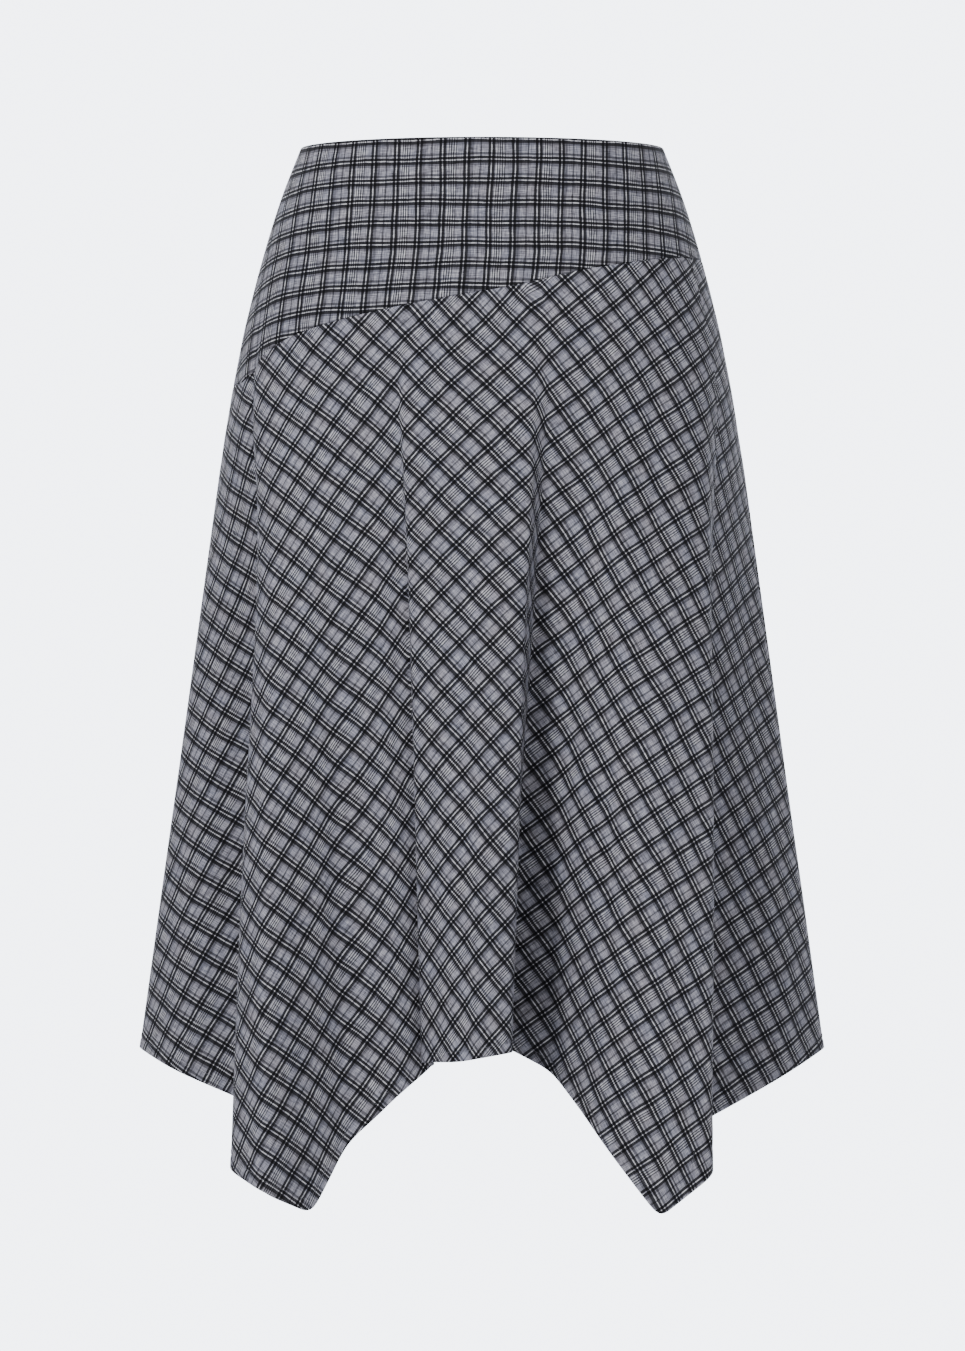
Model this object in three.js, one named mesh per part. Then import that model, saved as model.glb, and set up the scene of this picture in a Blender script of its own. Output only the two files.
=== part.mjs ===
// A worn bias-cut skirt with a slanting hip yoke and a handkerchief hem, in millimetres.
// The origin is the middle of the waist, +Z is up, -Y is the front and +X is the wearer's left.
import * as THREE from 'three';

// Driving dimensions.
const WALL = 1.2;
const SEAM_GAP = 0.3;
const WAIST_DIP = 3.5;
const FLARE_FROM = -140;
const FLARE_TO = -670;
const FLARE_EASE = 0.06;
const HIP_LEVEL = -190;
const HIP_SQUARENESS = 2.25;

// How finely the cloth is divided: columns for each fold row, and rows down each piece.
const COLUMNS_PER_FOLD = 4;
const YOKE_ROWS = 5;
const SKIRT_ROWS = 12;
const ROW_CROWDING = 1.25;
const NORMAL_STEP = 0.02;

// The cloth's plain oval at each level, before any fold.
const OVALS = table('level halfWidth front back', [
  [0, 135.8, 95, 97],
  [-40, 151.2, 104, 108],
  [-80, 163.5, 112, 120],
  [-120, 174, 119, 128],
  [-150, 180.6, 123, 131],
  [-190, 185.6, 126, 133],
  [-240, 187.4, 127, 134],
]);

// The slanting seam under the yoke: its drop below the waist at each angle round the body.
// Angles run from the centre front, 0, over the wearer's left, 90, and the centre back, 180.
const SEAM = table('angle drop', [
  [-90, 179],
  [-74, 178],
  [-58, 156],
  [-45, 144.5],
  [-20, 129],
  [0, 117.5],
  [30, 98],
  [60, 87.5],
  [90, 85],
  [125, 89],
  [180, 122],
  [235, 166],
]);

// The folds. Each row is a corner of the skirt's plan at FLARE_TO, with the angle it falls from
// at the hip, how widely the corner is rounded, and how far down the hem hangs there.
const FRONT_FOLDS = table('name angle x y round hem', [
  ['side_left', -90, -262, 4, 30, -671],
  ['panel_left', -80, -224, -53, 30, -687],
  ['tuck_left', -67, -146, -89, 16, -719],
  ['edge_left', -59, -180, -152, 20, -743],
  ['crest_left', -52, -153, -188, 22, -756],
  ['tip_left', -42, -122, -166, 9, -774],
  ['swell_left', -33, -97, -153, 16, -727],
  ['flank_left', -23, -61, -156, 20, -694],
  ['groove_left', -17, -34, -144, 8, -672],
  ['centre_left', -15.5, -45, -166, 12, -669],
  ['centre', -2, -16, -197, 30, -666],
  ['centre_right', 9.5, 22, -188, 16, -660],
  ['groove_right', 13, 14, -99, 12, -663],
  ['flank_right', 21, 55, -116, 26, -682],
  ['swell_right', 31, 87, -166, 26, -725],
  ['tip_right', 42, 126, -174, 9, -776],
  ['edge_right', 60, 166, -161, 18, -746],
  ['tuck_right', 68, 152, -93, 16, -724],
  ['panel_right', 80, 223, -48, 32, -689],
]);
const BACK_FOLDS = table('name angle x y round hem', [
  ['side_right', 90, 262, 4, 30, -671],
  ['back_panel_right', 101, 222, 60, 30, -688],
  ['back_tuck_right', 113, 158, 86, 16, -714],
  ['back_edge_right', 124, 172, 142, 22, -744],
  ['back_tip_right', 138, 132, 176, 12, -770],
  ['back_flank_right', 157, 74, 158, 30, -700],
  ['back_groove_right', 165, 40, 128, 14, -668],
  ['back_centre_right', 171, 28, 170, 18, -666],
  ['back_centre_left', 186, -28, 178, 26, -666],
  ['back_groove_left', 194, -46, 134, 16, -670],
  ['back_flank_left', 204, -88, 160, 30, -706],
  ['back_tip_left', 222, -138, 178, 12, -772],
  ['back_edge_left', 236, -176, 140, 24, -742],
  ['back_tuck_left', 246, -162, 86, 16, -714],
  ['back_panel_left', 257, -222, 60, 30, -688],
]);
const FOLDS = [...FRONT_FOLDS, ...BACK_FOLDS];
const SIDE_LEFT = 0;
const SIDE_RIGHT = FRONT_FOLDS.length;

// Cloth colours: the straight-grain yoke looks a little darker than the lower part.
const YOKE_COLOUR = 0x65646c;
const SKIRT_COLOUR = 0x6a6a72;
const CLOTH_ROUGHNESS = 0.92;

// Turns rows of numbers into objects with named columns.
function table(columns, rows) {
  const names = columns.split(' ');
  return rows.map((row) => Object.fromEntries(names.map((name, i) => [name, row[i]])));
}

// A smooth curve through points with rising x that never overshoots them.
function curveThrough(points) {
  const slopes = points.slice(1).map(([x, y], i) => (y - points[i][1]) / (x - points[i][0]));
  const tangents = points.map((point, i) => {
    const before = slopes[Math.max(i - 1, 0)];
    const after = slopes[Math.min(i, slopes.length - 1)];
    return before * after > 0 ? (2 * before * after) / (before + after) : 0;
  });
  return (x) => {
    const last = points.length - 2;
    const found = points.findIndex((point, i) => i > 0 && x < point[0]) - 1;
    const i = found < 0 ? (x < points[0][0] ? 0 : last) : found;
    const [[x0, y0], [x1, y1]] = [points[i], points[i + 1]];
    const t = THREE.MathUtils.clamp((x - x0) / (x1 - x0), 0, 1);
    const step = x1 - x0;
    const fromEnds = y0 * (1 + 2 * t) * (1 - t) ** 2 + y1 * t * t * (3 - 2 * t);
    const fromSlopes = tangents[i] * t * (1 - t) ** 2 + tangents[i + 1] * t * t * (t - 1);
    return fromEnds + step * fromSlopes;
  };
}

const ovalCurve = (column) =>
  curveThrough(OVALS.toReversed().map((oval) => [oval.level, oval[column]]));
const halfWidthAt = ovalCurve('halfWidth');
const frontDepthAt = ovalCurve('front');
const backDepthAt = ovalCurve('back');

// The seam's table goes round once, so it is laid three times end to end to stay smooth.
const seamLevelAt = curveThrough(
  [-360, 0, 360].flatMap((turn) => SEAM.map((row) => [row.angle + turn, -row.drop])),
);

// Three control points for each fold: one before the corner, the corner itself and one after.
const CONTROLS = FOLDS.flatMap((fold, i) => {
  const before = FOLDS[(i + FOLDS.length - 1) % FOLDS.length];
  const after = FOLDS[(i + 1) % FOLDS.length];
  return [toward(fold, before), fold, toward(fold, after)];
});

function toward(fold, neighbour) {
  const length = Math.hypot(neighbour.x - fold.x, neighbour.y - fold.y);
  const share = Math.min(fold.round / length, 0.45);
  const turn = THREE.MathUtils.euclideanModulo(neighbour.angle - fold.angle + 180, 360) - 180;
  return {
    x: fold.x + (neighbour.x - fold.x) * share,
    y: fold.y + (neighbour.y - fold.y) * share,
    angle: fold.angle + turn * share,
    hem: fold.hem + (neighbour.hem - fold.hem) * share,
  };
}

// A uniform cubic B-spline round the controls. place counts controls, and angles grow by a
// full turn each time round.
function alongFolds(place) {
  const first = Math.floor(place);
  const t = place - first;
  const weights = [
    (1 - t) ** 3 / 6,
    (3 * t ** 3 - 6 * t ** 2 + 4) / 6,
    (-3 * t ** 3 + 3 * t ** 2 + 3 * t + 1) / 6,
    t ** 3 / 6,
  ];
  const sum = { x: 0, y: 0, angle: 0, hem: 0 };
  weights.forEach((weight, k) => {
    const index = first - 1 + k;
    const control = CONTROLS[THREE.MathUtils.euclideanModulo(index, CONTROLS.length)];
    const turns = Math.floor(index / CONTROLS.length);
    sum.x += weight * control.x;
    sum.y += weight * control.y;
    sum.angle += weight * (control.angle + 360 * turns);
    sum.hem += weight * control.hem;
  });
  return sum;
}

// The oval that the folds hang from, a little squarer than an ellipse by the hip.
function ovalPoint(angle, level) {
  const squareness = 2 + (HIP_SQUARENESS - 2) * THREE.MathUtils.clamp(level / HIP_LEVEL, 0, 1);
  const sine = Math.sin(THREE.MathUtils.degToRad(angle));
  const cosine = Math.cos(THREE.MathUtils.degToRad(angle));
  const depth = cosine > 0 ? frontDepthAt(level) : backDepthAt(level);
  return {
    x: halfWidthAt(level) * Math.sign(sine) * Math.abs(sine) ** (2 / squareness),
    y: -depth * Math.sign(cosine) * Math.abs(cosine) ** (2 / squareness),
  };
}

// The cloth's outer face: straight from the oval to the fold's corner, with a soft start.
function clothPoint(place, level) {
  const fold = alongFolds(place);
  const oval = ovalPoint(fold.angle, level);
  const run = Math.max((FLARE_FROM - level) / (FLARE_FROM - FLARE_TO), 0);
  const eased = run < 2 * FLARE_EASE ? run ** 2 / (4 * FLARE_EASE) : run - FLARE_EASE;
  const flare = eased / (1 - FLARE_EASE);
  return new THREE.Vector3(
    oval.x + (fold.x - oval.x) * flare,
    oval.y + (fold.y - oval.y) * flare,
    level,
  );
}

const waistLevel = (place) =>
  -WAIST_DIP * Math.cos(THREE.MathUtils.degToRad(alongFolds(place).angle));
const seamLevel = (place) => seamLevelAt(alongFolds(place).angle);
const hemLevel = (place) => alongFolds(place).hem;

// The wall's direction at a point: inward, square to the cloth, and as long as the wall is thick.
function wallAt(place, level) {
  const across = clothPoint(place + NORMAL_STEP, level).sub(clothPoint(place - NORMAL_STEP, level));
  const down = clothPoint(place, level - 1).sub(clothPoint(place, level + 1));
  return across.cross(down).setLength(WALL);
}

// The grids of points on one piece's two faces, with its side edges drawn in by half a gap.
function wallGrids(fromFold, toFold, topLevel, bottomLevel, rows) {
  const columns = (toFold - fromFold) * COLUMNS_PER_FOLD;
  const outer = [];
  const inner = [];
  for (let c = 0; c <= columns; c += 1) {
    const place = 3 * (fromFold + c / COLUMNS_PER_FOLD) + 1;
    const top = topLevel(place);
    const bottom = bottomLevel(place);
    const levels = Array.from(
      { length: rows + 1 },
      (unused, r) => top + (bottom - top) * (r / rows) ** ROW_CROWDING,
    );
    outer.push(levels.map((level) => clothPoint(place, level)));
    inner.push(levels.map((level, r) => outer[c][r].clone().add(wallAt(place, level))));
  }
  drawIn(outer, inner, 0, 1);
  drawIn(outer, inner, columns, columns - 1);
  return { outer, inner };
}

function drawIn(outer, inner, edge, next) {
  outer[edge].forEach((point, r) => {
    const along = outer[next][r].clone().sub(point).setLength(SEAM_GAP / 2);
    point.add(along);
    inner[edge][r].add(along);
  });
}

// A closed wall of cloth between its outer and inner grids.
function clothWall({ outer, inner }) {
  const columns = outer.length - 1;
  const rows = outer[0].length - 1;
  const positions = [...outer.flat(), ...inner.flat()].flatMap((point) => point.toArray());
  const outside = (c, r) => c * (rows + 1) + r;
  const inside = (c, r) => outside(c, r) + (columns + 1) * (rows + 1);
  const triangles = [];
  const quad = (a, b, c, d) => triangles.push(a, b, c, a, c, d);
  for (let c = 0; c < columns; c += 1) {
    for (let r = 0; r < rows; r += 1) {
      quad(outside(c, r), outside(c, r + 1), outside(c + 1, r + 1), outside(c + 1, r));
      quad(inside(c, r), inside(c + 1, r), inside(c + 1, r + 1), inside(c, r + 1));
    }
    quad(outside(c, 0), outside(c + 1, 0), inside(c + 1, 0), inside(c, 0));
    quad(outside(c, rows), inside(c, rows), inside(c + 1, rows), outside(c + 1, rows));
  }
  for (let r = 0; r < rows; r += 1) {
    quad(outside(0, r), inside(0, r), inside(0, r + 1), outside(0, r + 1));
    quad(outside(columns, r), outside(columns, r + 1), inside(columns, r + 1), inside(columns, r));
  }
  const geometry = new THREE.BufferGeometry();
  geometry.setAttribute('position', new THREE.Float32BufferAttribute(positions, 3));
  geometry.setIndex(triangles);
  geometry.computeVertexNormals();
  return geometry;
}

function piece(name, colour, grids) {
  const material = new THREE.MeshStandardMaterial({
    color: colour,
    roughness: CLOTH_ROUGHNESS,
    metalness: 0,
  });
  const mesh = new THREE.Mesh(clothWall(grids), material);
  mesh.name = name;
  return mesh;
}

const aboveSeam = (place) => seamLevel(place) + SEAM_GAP / 2;
const belowSeam = (place) => seamLevel(place) - SEAM_GAP / 2;

function yoke(name, fromFold, toFold) {
  const grids = wallGrids(fromFold, toFold, waistLevel, aboveSeam, YOKE_ROWS);
  return piece(name, YOKE_COLOUR, grids);
}

function lowerPart(name, fromFold, toFold) {
  const grids = wallGrids(fromFold, toFold, belowSeam, hemLevel, SKIRT_ROWS);
  return piece(name, SKIRT_COLOUR, grids);
}

const skirt = new THREE.Group();
skirt.name = 'skirt';
skirt.add(yoke('yoke_front', SIDE_LEFT, SIDE_RIGHT));
skirt.add(yoke('yoke_back', SIDE_RIGHT, FOLDS.length));
skirt.add(lowerPart('skirt_front', SIDE_LEFT, SIDE_RIGHT));
skirt.add(lowerPart('skirt_back', SIDE_RIGHT, FOLDS.length));

export default skirt;
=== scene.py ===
"""A worn bias-cut check skirt with a slanting hip yoke and a handkerchief hem, held up at the waist.

Metres, +Z up, -Y the front, +X the wearer's left; the origin is the middle of the waist.
"""
import math

import bpy
import numpy as np
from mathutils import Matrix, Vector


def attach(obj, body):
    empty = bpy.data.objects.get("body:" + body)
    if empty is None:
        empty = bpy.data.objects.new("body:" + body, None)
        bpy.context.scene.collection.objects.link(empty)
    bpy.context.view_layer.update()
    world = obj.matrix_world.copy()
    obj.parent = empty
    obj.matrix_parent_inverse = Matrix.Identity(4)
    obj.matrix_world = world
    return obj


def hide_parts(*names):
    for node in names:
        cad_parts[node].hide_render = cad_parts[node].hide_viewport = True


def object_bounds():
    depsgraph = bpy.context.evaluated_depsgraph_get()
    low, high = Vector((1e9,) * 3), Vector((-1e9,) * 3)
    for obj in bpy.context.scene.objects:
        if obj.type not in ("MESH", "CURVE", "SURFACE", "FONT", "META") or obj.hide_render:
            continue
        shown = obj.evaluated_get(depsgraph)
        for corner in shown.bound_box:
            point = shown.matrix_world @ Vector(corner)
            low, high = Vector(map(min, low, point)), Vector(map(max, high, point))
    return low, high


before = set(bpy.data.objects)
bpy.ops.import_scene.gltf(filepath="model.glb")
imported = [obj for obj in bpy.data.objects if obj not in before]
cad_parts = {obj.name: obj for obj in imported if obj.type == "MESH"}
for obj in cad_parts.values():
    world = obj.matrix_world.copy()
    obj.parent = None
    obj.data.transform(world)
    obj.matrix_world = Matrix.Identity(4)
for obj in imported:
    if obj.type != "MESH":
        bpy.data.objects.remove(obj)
cad_low, cad_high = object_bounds()

MM = 0.001

# Cloth thickness; how far the seam allowances and the turned hem reach inside, how thick they are and
# how softly they end; and how far the hem puffs out over its fold, and how softly that ends.
CLOTH = 0.9 * MM
ALLOWANCE = 10 * MM
ALLOWANCE_CLOTH = 0.9 * MM
ALLOWANCE_END = 1 * MM
HEM_DEPTH = 10 * MM
HEM_CLOTH = 1.1 * MM
HEM_END = 0.8 * MM
HEM_PUFF = 0.4 * MM
HEM_PUFF_END = 3 * MM

# The seams: how wide and deep the cloth rolls into them.
SEAM_ROLL = 1.6 * MM
SEAM_DIP = 0.8 * MM

# The hem's stitching: its height above the edge, how it draws the cloth in, the stitch and the
# thread. A stitch's profile takes up STITCH_TAPER of a half wave, so that its ends aren't points.
STITCH_HEIGHT = 7 * MM
STITCH_DIP = 0.45 * MM
STITCH_DIP_WIDTH = 1.3 * MM
STITCH_PITCH = 3.1 * MM
STITCH_LENGTH = 2.3 * MM
STITCH_TAPER = 0.9
STITCH_RINGS = 5
STITCH_SIDES = 6
THREAD = 0.42 * MM

# The skirt's form. The cloth leaves the plain oval at FLARE_FROM and its folds are set at FLARE_TO.
# The oval's power grows from 2 at the waist to HIP_SQUARENESS at HIP_LEVEL. A fold's rounding takes
# up at most LONGEST_ROUNDING of the line to its neighbour.
WAIST_DIP = 3.5 * MM
FLARE_FROM = -140 * MM
FLARE_TO = -670 * MM
FLARE_EASE = 0.06
HIP_LEVEL = -190 * MM
HIP_SQUARENESS = 2.25
LONGEST_ROUNDING = 0.45

# How finely the cloth is divided round each half and down each piece, with its rows' distances from
# an edge and from the hem. A slanting hem draws its rows apart up to STEEPEST_HEM times.
FINE_PLACES = 6001
COLUMNS = {"front": 320, "back": 280}
SKIRT_ROWS = 64
YOKE_ROWS = 22
EDGE_STEPS = np.array([0, 0.4, 0.9, 1.6, 2.6, 4, 6, 9]) * MM
HEM_STEPS = np.array([0, 0.5, 1.2, 2.2, 3.6, 5, 6, 6.6, 7, 7.4, 8, 9, 10, 10.8, 12.5, 16]) * MM
STEEPEST_HEM = 2.2

# Columns: level, half width, front depth, back depth. The plain oval at each level, in mm.
OVALS = np.array([
    [0, 135.8, 95, 97],
    [-40, 151.2, 104, 108],
    [-80, 163.5, 112, 120],
    [-120, 174, 119, 128],
    [-150, 180.6, 123, 131],
    [-190, 185.6, 126, 133],
    [-240, 187.4, 127, 134],
])

# Columns: angle from the centre front over the wearer's left, in degrees, and the seam's drop, in mm.
SEAM = np.array([
    [-90, 179],
    [-74, 178],
    [-58, 156],
    [-45, 144.5],
    [-20, 129],
    [0, 117.5],
    [30, 98],
    [60, 87.5],
    [90, 85],
    [125, 89],
    [180, 122],
    [235, 166],
])

# Columns: name, angle at the hip, x and y of the fold's corner at FLARE_TO, how widely it is
# rounded, and the hem's level there. Angles in degrees, the rest in mm.
FRONT_FOLDS = [
    ("side_left", -90, -262, 4, 30, -671),
    ("panel_left", -80, -224, -53, 30, -687),
    ("tuck_left", -67, -146, -89, 16, -719),
    ("edge_left", -59, -180, -152, 20, -743),
    ("crest_left", -52, -153, -188, 22, -756),
    ("tip_left", -42, -122, -166, 9, -774),
    ("swell_left", -33, -97, -153, 16, -727),
    ("flank_left", -23, -61, -156, 20, -694),
    ("groove_left", -17, -34, -144, 8, -672),
    ("centre_left", -15.5, -45, -166, 12, -669),
    ("centre", -2, -16, -197, 30, -666),
    ("centre_right", 9.5, 22, -188, 16, -660),
    ("groove_right", 13, 14, -99, 12, -663),
    ("flank_right", 21, 55, -116, 26, -682),
    ("swell_right", 31, 87, -166, 26, -725),
    ("tip_right", 42, 126, -174, 9, -776),
    ("edge_right", 60, 166, -161, 18, -746),
    ("tuck_right", 68, 152, -93, 16, -724),
    ("panel_right", 80, 223, -48, 32, -689),
]
BACK_FOLDS = [
    ("side_right", 90, 262, 4, 30, -671),
    ("back_panel_right", 101, 222, 60, 30, -688),
    ("back_tuck_right", 113, 158, 86, 16, -714),
    ("back_edge_right", 124, 172, 142, 22, -744),
    ("back_tip_right", 138, 132, 176, 12, -770),
    ("back_flank_right", 157, 74, 158, 30, -700),
    ("back_groove_right", 165, 40, 128, 14, -668),
    ("back_centre_right", 171, 28, 170, 18, -666),
    ("back_centre_left", 186, -28, 178, 26, -666),
    ("back_groove_left", 194, -46, 134, 16, -670),
    ("back_flank_left", 204, -88, 160, 30, -706),
    ("back_tip_left", 222, -138, 178, 12, -772),
    ("back_edge_left", 236, -176, 140, 24, -742),
    ("back_tuck_left", 246, -162, 86, 16, -714),
    ("back_panel_left", 257, -222, 60, 30, -688),
]
FOLDS = FRONT_FOLDS + BACK_FOLDS
FOLD_NUMBER = {fold[0]: number for number, fold in enumerate(FOLDS)}
SIDE_LEFT = 0
SIDE_RIGHT = len(FRONT_FOLDS)

# Columns: the fold it starts beside, how many folds further on it starts and ends, the levels where
# it fades in and out, its half width and its height, in mm. A trough has a height below zero.
CREASES = [
    ("panel_left", 0.60, 0.45, -220, -780, 44, -20.0),
    ("tuck_left", 0.20, 0.10, -110, -300, 7, -2.4),
    ("swell_left", 0.25, 0.35, -270, -800, 27, -8.0),
    ("groove_left", -0.40, -0.30, -190, -640, 12, -2.6),
    ("centre_left", 0.90, 1.00, -170, -560, 11, -2.2),
    ("centre_right", 0.40, 0.40, -300, -680, 9, -4.5),
    ("flank_right", 0.05, 0.15, -250, -780, 24, 4.0),
    ("swell_right", -0.20, 0.10, -360, -700, 12, -2.4),
    ("tip_right", -0.15, -0.10, -150, -390, 11, -2.8),
    ("edge_right", 0.00, 0.10, -260, -700, 10, 2.5),
    ("panel_right", 0.00, 0.10, -200, -560, 30, -6.0),
    ("back_centre_left", -0.40, -0.45, -230, -560, 10, -2.6),
    ("back_flank_right", -0.45, -0.30, -300, -680, 11, -2.8),
    ("back_flank_left", 0.40, 0.45, -340, -700, 10, -2.6),
    ("back_panel_right", 0.40, 0.45, -330, -680, 13, -2.8),
    ("back_panel_left", -0.40, -0.45, -260, -600, 12, -2.4),
    ("back_tip_left", 0.30, 0.20, -190, -380, 9, -2.0),
    ("back_edge_right", 0.35, 0.20, -340, -760, 16, -4.5),
    ("back_centre_right", 0.50, 0.55, -260, -720, 15, -3.5),
]

# A column number that lies far outside either half.
FAR_COLUMN = 1000

# How far each stretch of the front, from one fold to the next, turns the grain of the bias cloth. At
# one it turns by the cloth that the stretch gains from hip to hem, and below zero it turns back. The
# back's stretches all have one.
GRAIN_SWING = {
    "side_left": 0.9,
    "panel_left": 0.8,
    "tuck_left": 0.6,
    "edge_left": 0.0,
    "crest_left": 0.8,
    "tip_left": 1.7,
    "swell_left": 0.9,
    "flank_left": 1.9,
    "groove_left": 2.1,
    "centre_left": 1.0,
    "centre": 0.1,
    "centre_right": 1.0,
    "groove_right": 0.7,
    "flank_right": 0.8,
    "swell_right": 0.8,
    "tip_right": 1.4,
    "edge_right": -0.9,
    "tuck_right": 0.9,
    "panel_right": 0.9,
}

# How far the line round the hip bends on the flat cut, against the angle it goes round the body. The
# grain starts at the flare's own angle at SWING_FROM and turns towards that bend, which it would
# reach at SWING_FULL. It is averaged over SWING_STEPS levels.
TOP_SWING = 0.3
SWING_FROM = -150 * MM
SWING_FULL = -1294 * MM
SWING_STEPS = 16

# Tucks seen only in part from the front. Columns: start, root and end, each as a fold and a share of
# the way to the next one. The check keeps its pitch between start and end, and what it gains there
# is left out along the root, the deepest line.
TUCKS = [
    (("panel_left", 0.0), ("tuck_left", 0.2), ("crest_left", 0.0)),
    (("edge_right", 0.0), ("tuck_right", 0.0), ("tuck_right", 0.4)),
]
ROOT_WIDTH = 0.2 * MM

# The check. Columns: yarn and the width of its stripe in mm, one repeat each way. The tones of two
# yarns that cross are multiplied, up to BRIGHTEST_TONE, and one is the ground's own colour.
WARP_STRIPES = [
    ("white", 0.7),
    ("black", 2.05),
    ("grey", 0.8),
    ("fine", 0.85),
    ("dim", 0.85),
    ("fine", 0.85),
    ("dim", 0.85),
    ("fine", 0.85),
    ("dim", 0.85),
    ("fine", 0.85),
    ("dim", 0.85),
    ("ground", 4.6),
    ("black", 2.05),
    ("white", 0.7),
    ("black", 2.05),
    ("grey", 2.2),
    ("ground", 4.1),
    ("dip", 1.3),
    ("ground", 4.6),
    ("black", 2.05),
]
WEFT_STRIPES = [
    ("white", 0.75),
    ("black", 1.9),
    ("light", 1.0),
    ("dip", 1.7),
    ("ground", 5.75),
    ("grey", 1.5),
    ("black", 2.4),
]
YARN_TONES = {
    "black": 0.09,
    "dim": 0.25,
    "dip": 0.38,
    "grey": 0.55,
    "ground": 1.0,
    "light": 1.2,
    "fine": 1.45,
    "white": 1.7,
}
BRIGHTEST_TONE = 2.5

# On the bias the cloth gives, so that the weft stripes lie further apart than on the straight grain.
BIAS_GIVE = 1.063

# The yoke's check, on the straight grain: where a repeat starts on the flat cut; the level whose
# length round is the base, and the share of each level's difference from it that counts; how much
# the cloth gives; and how far the warp stripes lean further than YOKE_LEAN_FROM below the top.
YOKE_WARP_START = 12.6 * MM
YOKE_WEFT_START = 31.7 * MM
YOKE_LEVEL = -100 * MM
YOKE_SPREAD = 0.95
YOKE_GIVE = 1.035
YOKE_LEAN = 0.07
YOKE_LEAN_FROM = 85 * MM

# Columns: angle, and how far the yoke's weft stripes droop there at DROOP_FULL below the top, in mm.
# The droop grows evenly with the drop, up to DROOP_MOST times the table's.
YOKE_DROOP = np.array([
    [-90, 24],
    [-78, 19],
    [-68, 12],
    [-55, 5],
    [-35, 1],
    [0, 0],
    [35, 1.5],
    [50, 5],
    [65, 10],
    [80, 16],
    [90, 18],
    [125, 6],
    [180, 0],
    [235, 5],
    [269, 24],
])
DROOP_FULL = 130 * MM
DROOP_MOST = 1.3

# The yoke's ground colour is scaled by this factor: painted shade, which makes the same cloth look
# darker on the straight-grain yoke than on the bias.
YOKE_PAINTED_SHADE = 0.82

# The cool and the warm tint that the ground wanders between, the darkest and the lightest yarns, and
# the thread's own two tints.
COOL = (0.275, 0.281, 0.355)
WARM = (0.302, 0.289, 0.334)
BLACK_COLOUR = (0.003, 0.003, 0.0035)
WHITE_COLOUR = (0.66, 0.66, 0.70)
THREAD_COLOUR = (0.06, 0.06, 0.07)
THREAD_LIGHT = (0.12, 0.12, 0.14)

# The scales of the noises, in features to the metre: across the warp stripes and across the weft
# stripes of the flat cut, and each way on the thread.
WAVER_NOISE = (90, 90, 1)
WARP_DRIFT_NOISE = (22, 16, 1)
WEFT_DRIFT_NOISE = (15, 21, 1)
WARP_SLUB_NOISE = (1500, 110, 1)
WEFT_SLUB_NOISE = (110, 1500, 1)
HUE_NOISE = (45, 60, 1)
THREAD_NOISE = (2500, 2500, 2500)

# How far the stripes waver and drift, and how the noises become the slubs' tone and the tint.
WAVER = 0.8 * MM
DRIFT = 4 * MM
SLUB_CONTRAST = 2.6
SLUB_MIDDLE = 0.97
TINT_CONTRAST = 2.2
TINT_START = -0.6

# The plain weave's bumps: two yarns take up WEAVE, and both they and the slubs raise the cloth. The
# roughness falls from the black yarns to the ground.
WEAVE = 0.55 * MM
WEAVE_HEIGHT = 0.5
SLUB_HEIGHT = 0.8
BUMP_DEPTH = 0.25 * MM
BUMP_STRENGTH = 0.35
BLACK_ROUGHNESS = 0.95
ROUGHNESS_FALL = 0.12
CLOTH_SPECULAR = 0.05
THREAD_ROUGHNESS = 0.7

# The floor and backdrop, in metres: the floor's drop below the skirt, its half width and its front
# and back ends, the quarter circle's radius and points, and the top. Its glow shows pale grey.
FLOOR_DROP = 0.38
FLOOR_HALF_WIDTH = 7.0
FLOOR_FRONT = -6.0
FLOOR_BACK = 3.0
SWEEP = 1.5
SWEEP_POINTS = 17
BACKDROP_TOP = 7.0
BACKDROP_COLOUR = (5.12, 5.36, 5.9)

# The lights. Columns: name, place, what it is turned towards, size in metres and power in watts.
LIGHTS = [
    ("key", (-1.35, -2.2, 1.5), (0, 0, -0.4), 0.6, 77),
    ("front", (1.1, -3.0, 0.6), (0, 0, -0.4), 0.8, 24),
    ("low", (1.3, -2.4, -1.5), (0, 0, -0.6), 0.8, 14),
    ("right", (3.2, -0.5, 0.3), (0, 0, -0.4), 1.2, 8),
    ("left", (-3.2, -0.5, 0.3), (0, 0, -0.4), 1.2, 4),
    ("back_left", (-1.6, 3.0, 1.0), (0, 0, -0.4), 1.2, 45),
    ("back_right", (1.9, 2.6, 1.4), (0, 0, -0.4), 1.2, 45),
]
SURROUND_COLOUR = (0.97, 0.98, 1, 1)
SURROUND_STRENGTH = 0.42

# The photograph: its size, the axis's and the waist's pixels, and what a pixel spans at the skirt's
# middle. The camera's distance is in metres and its sensor in mm.
PHOTO_WIDTH = 965
PHOTO_HEIGHT = 1351
AXIS_PIXEL = 482.0
WAIST_PIXEL = 149.0
PIXEL = 0.75 * MM
CAMERA_DISTANCE = 3.0
SENSOR = 36


def curve_through(points, at):
    """A cubic through (x, y) rows with rising x whose slope at each row is the harmonic mean of
    the chords' slopes beside it, so that it never overshoots; flat past both ends.
    """
    x, y = points[:, 0], points[:, 1]
    slope = np.diff(y) / np.diff(x)
    before, after = np.append(slope[:1], slope), np.append(slope, slope[-1:])
    product = before * after
    total = np.where(product > 0, before + after, 1)
    tangent = np.where(product > 0, 2 * product / total, 0)
    at = np.clip(at, x[0], x[-1])
    i = np.clip(np.searchsorted(x, at, side="right") - 1, 0, len(x) - 2)
    step = x[i + 1] - x[i]
    t = (at - x[i]) / step
    ends = y[i] * (1 + 2 * t) * (1 - t) ** 2 + y[i + 1] * t * t * (3 - 2 * t)
    return ends + step * (tangent[i] * t * (1 - t) ** 2 + tangent[i + 1] * t * t * (t - 1))


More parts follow.
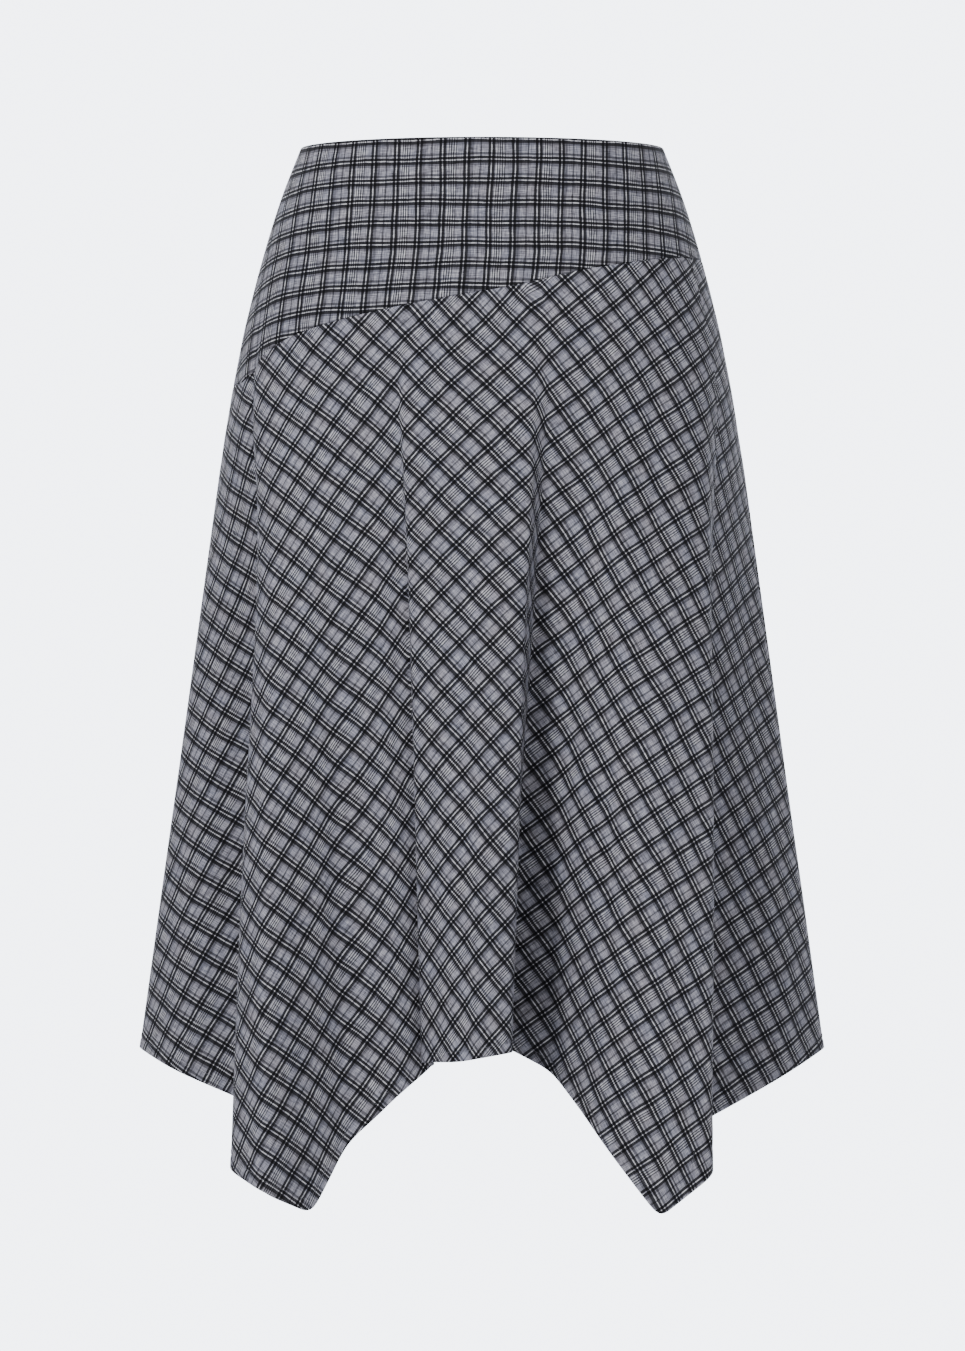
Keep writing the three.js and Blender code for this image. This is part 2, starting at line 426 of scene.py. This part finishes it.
def fold_controls():
    """Three control points for each fold, as columns x, y, angle, hem: the corner, and a point
    before and after it, a rounding's length along the straight lines to its neighbours.
    """
    corners = np.array([[x, y, angle, hem] for name, angle, x, y, rounding, hem in FOLDS], float)
    rounding = np.array([fold[4] for fold in FOLDS], float)

    def toward(neighbours):
        change = neighbours - corners
        change[:, 2] = (change[:, 2] + 180) % 360 - 180
        share = np.minimum(rounding / np.hypot(change[:, 0], change[:, 1]), LONGEST_ROUNDING)
        return corners + change * share[:, None]

    before, after = toward(np.roll(corners, 1, axis=0)), toward(np.roll(corners, -1, axis=0))
    return np.stack([before, corners, after], axis=1).reshape(-1, 4)


CONTROLS = fold_controls()
CORNER = {name: 3 * number + 1 for name, number in FOLD_NUMBER.items()}
ALL_ROUND = 3 * len(FOLDS)


def along_folds(place):
    """x, y, angle and hem level at a place round the skirt, counted in controls: a uniform cubic
    B-spline of the controls, whose angle grows by a full turn each time round.
    """
    first = np.floor(place).astype(int)
    t = place - first
    weights = [(1 - t) ** 3, 3 * t**3 - 6 * t**2 + 4, -3 * t**3 + 3 * t**2 + 3 * t + 1, t**3]
    total = np.zeros(place.shape + (4,))
    for k, weight in enumerate(weights):
        index = first - 1 + k
        control = CONTROLS[index % ALL_ROUND].copy()
        control[..., 2] += 360 * (index // ALL_ROUND)
        total += weight[..., None] / 6 * control
    return total[..., 0] * MM, total[..., 1] * MM, total[..., 2], total[..., 3] * MM


def oval(angle, level):
    """x and y of the plain oval: width times the sine and depth times the cosine of the angle,
    each raised to two over the squareness.
    """
    table = OVALS[::-1]
    half_width, front, back = (
        curve_through(table[:, [0, k]], level / MM) * MM for k in (1, 2, 3)
    )
    power = 2 / (2 + (HIP_SQUARENESS - 2) * np.clip(level / HIP_LEVEL, 0, 1))
    sine, cosine = np.sin(np.radians(angle)), np.cos(np.radians(angle))
    depth = np.where(cosine > 0, front, back)
    x = half_width * np.sign(sine) * np.abs(sine) ** power
    return x, -depth * np.sign(cosine) * np.abs(cosine) ** power


def cloth(place, level):
    """Points of the cloth's outer face: the oval, moved straight towards the fold's corner in
    proportion to the drop below FLARE_FROM, with a soft start.
    """
    x, y, angle, hem = along_folds(place)
    oval_x, oval_y = oval(angle, level)
    run = np.maximum((FLARE_FROM - level) / (FLARE_FROM - FLARE_TO), 0)
    eased = np.where(run < 2 * FLARE_EASE, run**2 / (4 * FLARE_EASE), run - FLARE_EASE)
    flare = eased / (1 - FLARE_EASE)
    x, y = oval_x + (x - oval_x) * flare, oval_y + (y - oval_y) * flare
    return np.stack([x, y, level + 0 * x], axis=-1)


def seam_level(place):
    """The level of the seam under the yoke: the seam table's curve, carried on round the body."""
    turns = [SEAM + [360 * turn, 0] for turn in (-1, 0, 1)]
    return -curve_through(np.concatenate(turns), along_folds(place)[2]) * MM


def waist_level(place):
    """The level of the top edge: a cosine of the angle, lowest at the front."""
    return -WAIST_DIP * np.cos(np.radians(along_folds(place)[2]))


def lengths(points, axis):
    """Length along a grid's rows or columns from its first point, as running sums of its steps."""
    steps = np.linalg.norm(np.diff(points, axis=axis), axis=-1)
    start = np.zeros_like(np.take(steps, [0], axis=axis))
    return np.concatenate([start, np.cumsum(steps, axis=axis)], axis=axis)


def tuck_place(point):
    """The place of a tuck's start, root or end."""
    fold, share = point
    return CORNER[fold] + 3 * share


def column_places(half):
    """Places of one half's columns, evenly spaced by the mean of the cloth's own length round at
    the hem and at the hip. The front has two more at each tuck's root, ROOT_WIDTH apart.
    """
    first, last = (SIDE_LEFT, SIDE_RIGHT) if half == "front" else (SIDE_RIGHT, len(FOLDS))
    fine = np.linspace(3 * first + 1, 3 * last + 1, FINE_PLACES)
    hem = lengths(cloth(fine, np.full_like(fine, FLARE_TO)), 0)
    hip = lengths(cloth(fine, np.full_like(fine, HIP_LEVEL)), 0)
    mean = hem / hem[-1] + hip / hip[-1]
    even = np.interp(np.linspace(0, mean[-1], COLUMNS[half] + 1), mean, fine)
    if half == "back":
        return even
    roots = np.array([tuck_place(root) for start, root, end in TUCKS])
    root_hem = np.interp(roots, fine, hem)
    beside = np.interp(np.append(root_hem, root_hem + ROOT_WIDTH), hem, fine)
    return np.sort(np.concatenate([even, beside]))


def keep_pitch(places, points, x, y):
    """The flat cut with its tucks let out: between a tuck's start and end each row of the cut gets
    the cloth's own length round, and past the root it is moved back by all that it gained.
    """
    down_x, down_y = np.gradient(x, axis=1), np.gradient(y, axis=1)
    down = np.hypot(down_x, down_y)
    round_x, round_y = -down_y / down, down_x / down
    round_cut = np.diff(x, axis=0) * round_x[:-1] + np.diff(y, axis=0) * round_y[:-1]
    round_cloth = np.linalg.norm(np.diff(points[..., :2], axis=0), axis=-1)
    middles = (places[1:] + places[:-1]) / 2
    move = np.zeros_like(x)
    for start, root, end in TUCKS:
        inside = (middles > tuck_place(start)) & (middles < tuck_place(end))
        gained = np.cumsum((round_cloth - round_cut) * inside[:, None], axis=0)
        past = middles > tuck_place(root)
        move[1:] += gained - gained[-1] * past[:, None]
    return x + move * round_x, y + move * round_y


def row_levels(top, bottom, rows, bottom_steps):
    """Levels of one piece's rows for each column: close together at both edges and even between."""
    upper = top[:, None] - EDGE_STEPS
    lower = bottom[:, None] + bottom_steps[:, ::-1]
    share = np.linspace(0, 1, rows + 1)[1:-1]
    between = upper[:, -1:] + (lower[:, :1] - upper[:, -1:]) * share
    return np.concatenate([upper, between, lower], axis=1)


def outward(points):
    """Unit normals of a grid of points: its steps down crossed with its steps round."""
    normal = np.cross(np.gradient(points, axis=1), np.gradient(points, axis=0))
    return normal / np.linalg.norm(normal, axis=-1, keepdims=True)


def crease_height(places, points):
    """How far the creases lift the cloth: for each one a bell curve across it, as wide as its half
    width in length round the cloth, fading in and out by a half sine between its two levels. One
    outside this half is put so far away that its bell is flat here.
    """
    around = lengths(points, 0)
    level = points[..., 2]
    height = np.zeros_like(level)
    for fold, start, end, top, bottom, half_width, lift in CREASES:
        run = np.clip((level / MM - top) / (bottom - top), 0, 1)
        centre = CORNER[fold] + 3 * (start + (end - start) * run)
        column = np.interp(
            centre, places, np.arange(len(places)), left=-FAR_COLUMN, right=FAR_COLUMN
        )
        whole = np.clip(column.astype(int), 0, len(places) - 2)
        part = column - whole
        row = np.arange(level.shape[1])[None, :]
        at_crease = around[whole, row] * (1 - part) + around[whole + 1, row] * part
        across = (around - at_crease) / (half_width * MM)
        height += lift * MM * np.exp(-(across**2)) * np.sin(math.pi * run)
    return height


def roll(distance):
    """How far the cloth rolls into a seam: a quarter circle over SEAM_ROLL, SEAM_DIP deep."""
    share = np.clip(1 - distance / SEAM_ROLL, 0, 1)
    return SEAM_DIP * (1 - np.sqrt(1 - share**2))


def soft_step(value, edge, width):
    """One below the edge and zero above it, turning smoothly over the width."""
    t = np.clip((value - edge) / width + 0.5, 0, 1)
    return 1 - t * t * (3 - 2 * t)


def flat_skirt(places, level, middle):
    """The bias pieces laid flat, as (x, y) from the middle fold. A line round the hip bends by
    TOP_SWING of its angle. From it each column runs down at its grain angle, which starts at the
    flare's own, the cloth gained from hip to hem over the drop, and turns towards that bend.
    """
    fine = np.linspace(places[0], places[-1], FINE_PLACES)
    hip = lengths(cloth(fine, np.full_like(fine, SWING_FROM)), 0)
    hem = lengths(cloth(fine, np.full_like(fine, FLARE_TO)), 0)
    stretch = np.floor((fine[1:] - 1) / 3).astype(int) % len(FOLDS)
    names = [fold[0] for fold in FOLDS]
    swing = np.array([GRAIN_SWING.get(name, 1.0) for name in names])[stretch]
    gained = np.diff(hem - hip) / (SWING_FROM - FLARE_TO) * swing
    flare = np.append(0, np.cumsum(gained))
    angle = np.radians(along_folds(fine)[2])
    start = CORNER[middle]

    def from_middle(values):
        return values - np.interp(start, fine, values)

    bend = TOP_SWING * from_middle(angle)
    mean_bend = (bend[1:] + bend[:-1]) / 2
    x = from_middle(np.append(0, np.cumsum(np.diff(hip) * np.cos(mean_bend))))
    y = from_middle(np.append(0, np.cumsum(np.diff(hip) * np.sin(mean_bend))))
    x, y, bend, flare = (
        np.interp(places, fine, values)[:, None] for values in (x, y, bend, from_middle(flare))
    )
    steps = (np.arange(SWING_STEPS) + 0.5) / SWING_STEPS
    step_level = SWING_FROM + (level[..., None] - SWING_FROM) * steps
    turned = soft_step(step_level, (SWING_FROM + SWING_FULL) / 2, SWING_FROM - SWING_FULL)
    grain = flare[..., None] + (bend - flare)[..., None] * turned
    drop = SWING_FROM - level
    return x + np.sin(grain).mean(axis=-1) * drop, y - np.cos(grain).mean(axis=-1) * drop


def flat_yoke(places, points, middle):
    """The straight-grain pieces laid flat: x is the length round from the middle, mostly that at
    its own level and a little that at YOKE_LEVEL, and leans low down; y is minus the drop below the
    top edge, plus what the droop table gives there.
    """
    level = points[..., 2]
    around = lengths(points[..., :2], 0)
    fixed = lengths(cloth(places, np.full_like(places, YOKE_LEVEL)), 0)[:, None]
    at_middle = int(round(float(np.interp(CORNER[middle], places, np.arange(len(places))))))
    around, fixed = around - around[at_middle], fixed - fixed[at_middle]
    drop = waist_level(places)[:, None] - level
    lean = YOKE_LEAN * np.maximum(drop - YOKE_LEAN_FROM, 0)
    x = fixed + YOKE_SPREAD * (around - fixed) + lean
    angle = along_folds(places)[2]
    share = np.minimum(drop / DROOP_FULL, DROOP_MOST)
    droop = curve_through(YOKE_DROOP, angle)[:, None] * MM * share
    return x, droop - drop


def wall(name, outer, thickness, uv, normal):
    """A closed shell: the outer grid, the same grid moved inward by the thickness, and a strip
    round all four edges. The UV map holds the flat cut, in metres.
    """
    columns, rows = outer.shape[:2]
    inner = outer - normal * thickness[..., None]
    vertices = np.concatenate([outer.reshape(-1, 3), inner.reshape(-1, 3)])
    index = np.arange(columns * rows).reshape(columns, rows)
    a, b, c, d = index[:-1, :-1], index[:-1, 1:], index[1:, 1:], index[1:, :-1]
    outside = np.stack([a, b, c, d], axis=-1).reshape(-1, 4)
    inside = outside[:, ::-1] + columns * rows
    rim = np.concatenate([index[0, :], index[1:, -1], index[-1, -2::-1], index[-2:0:-1, 0]])
    next_rim = np.roll(rim, -1)
    edge = np.stack([next_rim, rim, rim + columns * rows, next_rim + columns * rows], axis=-1)
    faces = np.concatenate([outside, inside, edge])
    mesh = bpy.data.meshes.new(name)
    mesh.from_pydata(vertices.tolist(), [], faces.tolist())
    layer = mesh.uv_layers.new(name="cut")
    flat = np.concatenate([uv.reshape(-1, 2), uv.reshape(-1, 2)])
    layer.data.foreach_set("uv", flat[faces.ravel()].ravel())
    mesh.polygons.foreach_set("use_smooth", np.ones(len(faces), bool))
    mesh.update()
    piece = bpy.data.objects.new(name, mesh)
    bpy.context.scene.collection.objects.link(piece)
    return piece


def declare(piece, node):
    """Hangs the piece under the root empty and hides the model's part that it stands for."""
    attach(piece, "root")
    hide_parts(node)


def side_distance(points):
    """Length round the cloth to the nearer side seam."""
    around = lengths(points, 0)
    return np.minimum(around, around[-1] - around)


def yoke_piece(half, middle):
    """One half of the yoke: the cloth between the waist and the seam, rolled in at its seams."""
    places = column_places(half)
    top, bottom = waist_level(places), seam_level(places)
    steps = np.broadcast_to(EDGE_STEPS, (len(places), len(EDGE_STEPS)))
    level = row_levels(top, bottom, YOKE_ROWS, steps)
    points = cloth(places[:, None], level)
    normal = outward(points)
    side = side_distance(points)
    above_seam = level - bottom[:, None]
    below_top = top[:, None] - level
    seam = np.minimum(side, above_seam)
    lift = crease_height(places, points) - roll(seam) - roll(below_top) / 2
    doubled = soft_step(np.minimum(seam, below_top), ALLOWANCE, ALLOWANCE_END)
    x, y = flat_yoke(places, points, middle)
    uv = np.stack([x / YOKE_GIVE - YOKE_WARP_START, y / YOKE_GIVE + YOKE_WEFT_START], axis=-1)
    outer = points + normal * lift[..., None]
    name = f"yoke_{half}_cloth"
    piece = wall(name, outer, CLOTH + ALLOWANCE_CLOTH * doubled, uv, normal)
    declare(piece, f"yoke_{half}")
    return piece


def skirt_piece(half, middle):
    """One half of the lower part: the cloth between the seam and the hem, rolled in at its seams,
    with its hem turned up inside and drawn in along the stitching. Both yarns run at 45 degrees to
    the middle fold.
    """
    places = column_places(half)
    top, bottom = seam_level(places), along_folds(places)[3]
    edge = cloth(places, bottom)
    run = np.gradient(lengths(edge[:, :2], 0))
    steep = np.minimum(np.hypot(1, np.gradient(bottom) / run), STEEPEST_HEM)
    level = row_levels(top, bottom, SKIRT_ROWS, HEM_STEPS * steep[:, None])
    points = cloth(places[:, None], level)
    normal = outward(points)
    x, y = flat_skirt(places, level, middle)
    hem_distance = distance_to_hem(x, y)
    side = side_distance(points)
    seam = np.minimum(side, top[:, None] - level)
    stitched = np.exp(-(((hem_distance - STITCH_HEIGHT) / STITCH_DIP_WIDTH) ** 2))
    puff = HEM_PUFF * soft_step(hem_distance, HEM_DEPTH, HEM_PUFF_END)
    lift = crease_height(places, points) - roll(seam) + puff - STITCH_DIP * stitched
    outer = points + normal * lift[..., None]
    doubled = soft_step(seam, ALLOWANCE, ALLOWANCE_END)
    turned = soft_step(hem_distance, HEM_DEPTH, HEM_END)
    thickness = CLOTH + np.maximum(ALLOWANCE_CLOTH * doubled, HEM_CLOTH * turned)
    slant = math.sqrt(0.5)
    drawn_x, drawn_y = keep_pitch(places, points, x, y) if half == "front" else (x, y)
    warp = (drawn_x - drawn_y) * slant
    weft = (drawn_x + drawn_y) * slant / BIAS_GIVE
    uv = np.stack([warp, weft], axis=-1)
    name = f"skirt_{half}_cloth"
    piece = wall(name, outer, thickness, uv, normal)
    declare(piece, f"skirt_{half}")
    return piece, stitch_line(outer, normal, hem_distance)


def distance_to_hem(x, y):
    """Distance on the flat cut from every grid point to the hem edge: the least of its distances
    to the edge's own short straight stretches, for the rows near the hem.
    """
    rows = len(HEM_STEPS) + 2
    far = 10 * HEM_DEPTH
    distance = np.full_like(x, far)
    points = np.stack([x[:, -rows:], y[:, -rows:]], axis=-1)
    edge = np.stack([x[:, -1], y[:, -1]], axis=-1)
    start, along = edge[:-1], np.diff(edge, axis=0)
    length = (along**2).sum(axis=1)
    for row in range(rows):
        away = points[:, row, None, :] - start
        share = np.clip((away * along).sum(axis=-1) / length, 0, 1)
        gap = np.linalg.norm(away - share[..., None] * along, axis=-1)
        distance[:, row - rows] = gap.min(axis=1)
    return distance


def stitch_line(outer, normal, hem_distance):
    """The line on the cloth at STITCH_HEIGHT above the hem: in each column, the point between the
    two rows whose hem distances lie either side of it.
    """
    below = (hem_distance < STITCH_HEIGHT).argmax(axis=1)
    column = np.arange(len(below))
    near, far = hem_distance[column, below], hem_distance[column, below - 1]
    share = ((STITCH_HEIGHT - near) / (far - near))[:, None]
    point = outer[column, below] * (1 - share) + outer[column, below - 1] * share
    return point, normal[column, below]


def stitches(name, line, normal):
    """Short threads end to end along a line: each is a spindle laid along the line, its radius the
    square root of a cosine of the distance from its middle.
    """
    along = lengths(line, 0)
    count = int(along[-1] / STITCH_PITCH)
    middle = (np.arange(count) + 0.5) * along[-1] / count
    rings = np.linspace(-0.5, 0.5, STITCH_RINGS)
    at = middle[:, None] + rings * STITCH_LENGTH
    centre = np.stack([np.interp(at, along, line[:, k]) for k in range(3)], axis=-1)
    up = np.stack([np.interp(at, along, normal[:, k]) for k in range(3)], axis=-1)
    forward = np.gradient(centre, axis=1)
    across = np.cross(forward, up)
    across /= np.linalg.norm(across, axis=-1, keepdims=True)
    radius = THREAD / 2 * np.sqrt(np.cos(math.pi * rings * STITCH_TAPER))
    turn = np.arange(STITCH_SIDES) * 2 * math.pi / STITCH_SIDES
    ring = up[:, :, None] * np.cos(turn)[:, None] + across[:, :, None] * np.sin(turn)[:, None]
    vertices = centre[:, :, None] + ring * radius[None, :, None, None]
    corners = STITCH_RINGS * STITCH_SIDES
    base = np.arange(corners).reshape(STITCH_RINGS, STITCH_SIDES)
    a, b = base[:-1], np.roll(base[:-1], -1, axis=1)
    c, d = np.roll(base[1:], -1, axis=1), base[1:]
    sides = np.stack([a, b, c, d], axis=-1).reshape(-1, 4)
    one = sides.tolist() + [base[0, ::-1].tolist(), base[-1].tolist()]
    faces = [[v + corners * k for v in face] for k in range(count) for face in one]
    mesh = bpy.data.meshes.new(name)
    mesh.from_pydata(vertices.reshape(-1, 3).tolist(), [], faces)
    mesh.update()
    piece = bpy.data.objects.new(name, mesh)
    bpy.context.scene.collection.objects.link(piece)
    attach(piece, "root")
    return piece


class Wire:
    """A shader socket that takes part in sums, so that an expression adds its Math nodes."""

    def __init__(self, shader, socket):
        self.shader = shader
        self.socket = socket

    def __add__(self, other):
        return self.shader.maths("ADD", self, other)

    def __radd__(self, other):
        return self.shader.maths("ADD", other, self)

    def __sub__(self, other):
        return self.shader.maths("SUBTRACT", self, other)

    def __rsub__(self, other):
        return self.shader.maths("SUBTRACT", other, self)

    def __mul__(self, other):
        return self.shader.maths("MULTIPLY", self, other)

    def __rmul__(self, other):
        return self.shader.maths("MULTIPLY", other, self)

    def __truediv__(self, other):
        return self.shader.maths("DIVIDE", self, other)


class Shader:
    """A material and the one way of adding nodes to it."""

    def __init__(self, name):
        self.material = bpy.data.materials.new(name)
        self.material.use_nodes = True
        self.tree = self.material.node_tree
        self.tree.nodes.clear()

    def node(self, kind, settings=None, inputs=None, output=0):
        """Adds a node, its settings first and then the values or links of its sockets."""
        node = self.tree.nodes.new(kind)
        for name, value in (settings or {}).items():
            if name == "stops":
                self.set_stops(node.color_ramp, value)
            else:
                setattr(node, name, value)
        for name, value in (inputs or {}).items():
            if isinstance(value, Wire):
                self.tree.links.new(value.socket, node.inputs[name])
            else:
                node.inputs[name].default_value = value
        return Wire(self, node.outputs[output]) if node.outputs else None

    def set_stops(self, ramp, stops):
        """Gives a ramp flat steps, each one a position and the colour from there on."""
        ramp.interpolation = "CONSTANT"
        ramp.elements[0].position, ramp.elements[0].color = stops[0]
        ramp.elements[1].position, ramp.elements[1].color = stops[-1]
        for position, colour in stops[1:-1]:
            ramp.elements.new(position).color = colour

    def maths(self, operation, *values):
        """Adds one Math node."""
        return self.node("ShaderNodeMath", {"operation": operation}, dict(enumerate(values)))

    def mix(self, share, first, second):
        """Mixes two colours: the first at a share of zero and the second at one. The node's colour
        sockets are numbers 6 and 7, and its colour output is number 2.
        """
        colours = {0: share, 6: first, 7: second}
        return self.node("ShaderNodeMix", {"data_type": "RGBA"}, colours, output=2)

    def noise(self, vector, scale, detail=2.0, roughness=0.5):
        """Noise from 0 to 1 over a vector stretched by the scale."""
        stretched = self.node("ShaderNodeMapping", inputs={"Vector": vector, "Scale": scale})
        values = {"Vector": stretched, "Scale": 1.0, "Detail": detail, "Roughness": roughness}
        return self.node("ShaderNodeTexNoise", inputs=values)


def stripe_tone(shader, across, stripes):
    """The yarns' tone at a distance across the stripes: a ramp with one flat step for each stripe,
    started half a stripe early so that zero is the middle of the first.
    """
    repeat = sum(width for yarn, width in stripes)
    share = shader.maths("FRACT", across / (repeat * MM) + stripes[0][1] / 2 / repeat)
    stops = []
    edge = 0.0
    for yarn, width in stripes:
        tone = YARN_TONES[yarn] / BRIGHTEST_TONE
        stops.append((edge / repeat, (tone, tone, tone, 1)))
        edge += width
    ramp = shader.node("ShaderNodeValToRGB", {"stops": stops}, {"Fac": share})
    return ramp * BRIGHTEST_TONE


def check_cloth(name, painted_shade):
    """The woven check on the flat cut: warp tone times weft tone on the ground colour, slubs along
    both yarns, and a plain weave's bumps.
    """
    shader = Shader(name)
    cut = shader.node("ShaderNodeUVMap", {"uv_map": "cut"})
    apart = shader.node("ShaderNodeSeparateXYZ", inputs={"Vector": cut})
    across_warp = apart
    across_weft = Wire(shader, apart.socket.node.outputs[1])

    waver = shader.noise(cut, WAVER_NOISE) - 0.5
    warp_drift = shader.noise(cut, WARP_DRIFT_NOISE, detail=1.0) - 0.5
    weft_drift = shader.noise(cut, WEFT_DRIFT_NOISE, detail=1.0) - 0.5
    warp_at = across_warp + waver * WAVER + warp_drift * DRIFT
    weft_at = across_weft - waver * WAVER + weft_drift * DRIFT
    tone = stripe_tone(shader, warp_at, WARP_STRIPES) * stripe_tone(shader, weft_at, WEFT_STRIPES)

    warp_slub = shader.noise(cut, WARP_SLUB_NOISE, detail=3.0, roughness=0.6)
    weft_slub = shader.noise(cut, WEFT_SLUB_NOISE, detail=3.0, roughness=0.6)
    slub = (warp_slub + weft_slub - 1.0) * SLUB_CONTRAST + SLUB_MIDDLE
    tone = shader.maths("MINIMUM", tone, BRIGHTEST_TONE) * slub

    dark_share = shader.maths("MINIMUM", tone, 1.0)
    light_share = shader.maths("MAXIMUM", tone - 1.0, 0.0)
    light_share = shader.maths("MINIMUM", light_share, 1.0)
    hue = shader.noise(cut, HUE_NOISE, detail=1.0) * TINT_CONTRAST + TINT_START
    hue = shader.maths("MINIMUM", shader.maths("MAXIMUM", hue, 0.0), 1.0)
    # The ground's two tints are scaled by the painted shade factor, which darkens the yoke's copy of
    # the cloth.
    cool, warm = (tuple(painted_shade * channel for channel in tint) + (1,) for tint in (COOL, WARM))
    ground = shader.mix(hue, cool, warm)
    colour = shader.mix(dark_share, (*BLACK_COLOUR, 1), ground)
    colour = shader.mix(light_share, colour, (*WHITE_COLOUR, 1))

    full_turn = 2 * math.pi / WEAVE
    warp_wave = shader.maths("SINE", across_warp * full_turn)
    weft_wave = shader.maths("SINE", across_weft * full_turn)
    height = warp_wave * weft_wave * WEAVE_HEIGHT + (warp_slub + weft_slub) * SLUB_HEIGHT
    bump = shader.node(
        "ShaderNodeBump",
        inputs={"Height": height, "Strength": BUMP_STRENGTH, "Distance": BUMP_DEPTH},
    )
    roughness = BLACK_ROUGHNESS - dark_share * ROUGHNESS_FALL
    surface = shader.node(
        "ShaderNodeBsdfPrincipled",
        inputs={
            "Base Color": colour,
            "Roughness": roughness,
            "Normal": bump,
            "Specular IOR Level": CLOTH_SPECULAR,
        },
    )
    shader.node("ShaderNodeOutputMaterial", inputs={"Surface": surface})
    return shader.material


def thread_material(name):
    """Dark sewing thread, mottled between two tints by a fine noise on its Object coordinates."""
    shader = Shader(name)
    place = shader.node("ShaderNodeTexCoord", output=3)
    mottle = shader.noise(place, THREAD_NOISE)
    colour = shader.mix(mottle, (*THREAD_COLOUR, 1), (*THREAD_LIGHT, 1))
    surface = shader.node(
        "ShaderNodeBsdfPrincipled",
        inputs={"Base Color": colour, "Roughness": THREAD_ROUGHNESS},
    )
    shader.node("ShaderNodeOutputMaterial", inputs={"Surface": surface})
    return shader.material


def glow(name, colour):
    """A plain surface that shows one even colour, whatever the light."""
    shader = Shader(name)
    surface = shader.node("ShaderNodeEmission", inputs={"Color": (*colour, 1), "Strength": 1.0})
    shader.node("ShaderNodeOutputMaterial", inputs={"Surface": surface})
    return shader.material


def floor_and_backdrop():
    """A pale sheet: a flat floor that sweeps up behind through a quarter circle. Diffuse light
    leaves it out, so that its glow doesn't fall on the cloth.
    """
    floor = cad_low[2] - FLOOR_DROP
    turn = np.linspace(0, math.pi / 2, SWEEP_POINTS)
    y = np.concatenate([[FLOOR_FRONT], FLOOR_BACK + SWEEP * np.sin(turn), [FLOOR_BACK + SWEEP]])
    z = np.concatenate([[0.0], SWEEP * (1 - np.cos(turn)), [BACKDROP_TOP]]) + floor
    x = np.array([-FLOOR_HALF_WIDTH, FLOOR_HALF_WIDTH])
    grid = np.stack(np.broadcast_arrays(x[:, None], y[None], z[None]), axis=-1)
    rows = len(y)
    index = np.arange(2 * rows).reshape(2, rows)
    faces = np.stack([index[0, :-1], index[1, :-1], index[1, 1:], index[0, 1:]], axis=-1)
    mesh = bpy.data.meshes.new("floor")
    mesh.from_pydata(grid.reshape(-1, 3).tolist(), [], faces.tolist())
    mesh.update()
    sheet = bpy.data.objects.new("floor", mesh)
    bpy.context.scene.collection.objects.link(sheet)
    mesh.materials.append(glow("pale_floor", BACKDROP_COLOUR))
    sheet.visible_diffuse = False


def soft_light(name, place, aim, size, power):
    """A square area light at a place, turned towards the aim."""
    light = bpy.data.lights.new(name, "AREA")
    light.shape = "SQUARE"
    light.size = size
    light.energy = power
    lamp = bpy.data.objects.new(name, light)
    bpy.context.scene.collection.objects.link(lamp)
    lamp.location = place
    away = np.array(place) - np.array(aim)
    flat_length = math.hypot(away[0], away[1])
    lamp.rotation_euler = (math.atan2(flat_length, away[2]), 0, math.atan2(away[0], -away[1]))


def studio():
    """A soft main light high at the front left, weaker ones from the front right, from low down and
    from both sides, two behind, and an even grey surround.
    """
    world = bpy.data.worlds.new("surround")
    world.use_nodes = True
    background = world.node_tree.nodes["Background"]
    background.inputs["Color"].default_value = SURROUND_COLOUR
    background.inputs["Strength"].default_value = SURROUND_STRENGTH
    bpy.context.scene.world = world
    for light in LIGHTS:
        soft_light(*light)


def camera():
    """The photograph's view: level, from the front, with the axis and the waist at their pixels."""
    data = bpy.data.cameras.new("camera")
    data.sensor_fit = "AUTO"
    data.sensor_width = SENSOR
    data.lens = SENSOR * CAMERA_DISTANCE / (PHOTO_HEIGHT * PIXEL)
    eye = bpy.data.objects.new("camera", data)
    bpy.context.scene.collection.objects.link(eye)
    x = (PHOTO_WIDTH / 2 - AXIS_PIXEL) * PIXEL
    z = (WAIST_PIXEL - PHOTO_HEIGHT / 2) * PIXEL
    eye.location = (x, -CAMERA_DISTANCE, z)
    eye.rotation_euler = (math.pi / 2, 0, 0)
    bpy.context.scene.camera = eye


# The yoke's material is the skirt's cloth darkened with painted shade.
yoke_cloth = check_cloth("yoke_check_painted_shade", YOKE_PAINTED_SHADE)
skirt_cloth = check_cloth("skirt_check", 1.0)
thread = thread_material("hem_thread")
for half, middle in (("front", "centre"), ("back", "back_centre_left")):
    yoke_half = yoke_piece(half, middle)
    yoke_half.data.materials.append(yoke_cloth)
    skirt_half, (line, line_normal) = skirt_piece(half, middle)
    skirt_half.data.materials.append(skirt_cloth)
    hem_stitches = stitches(f"hem_stitches_{half}", line, line_normal)
    hem_stitches.data.materials.append(thread)

floor_and_backdrop()
studio()
camera()
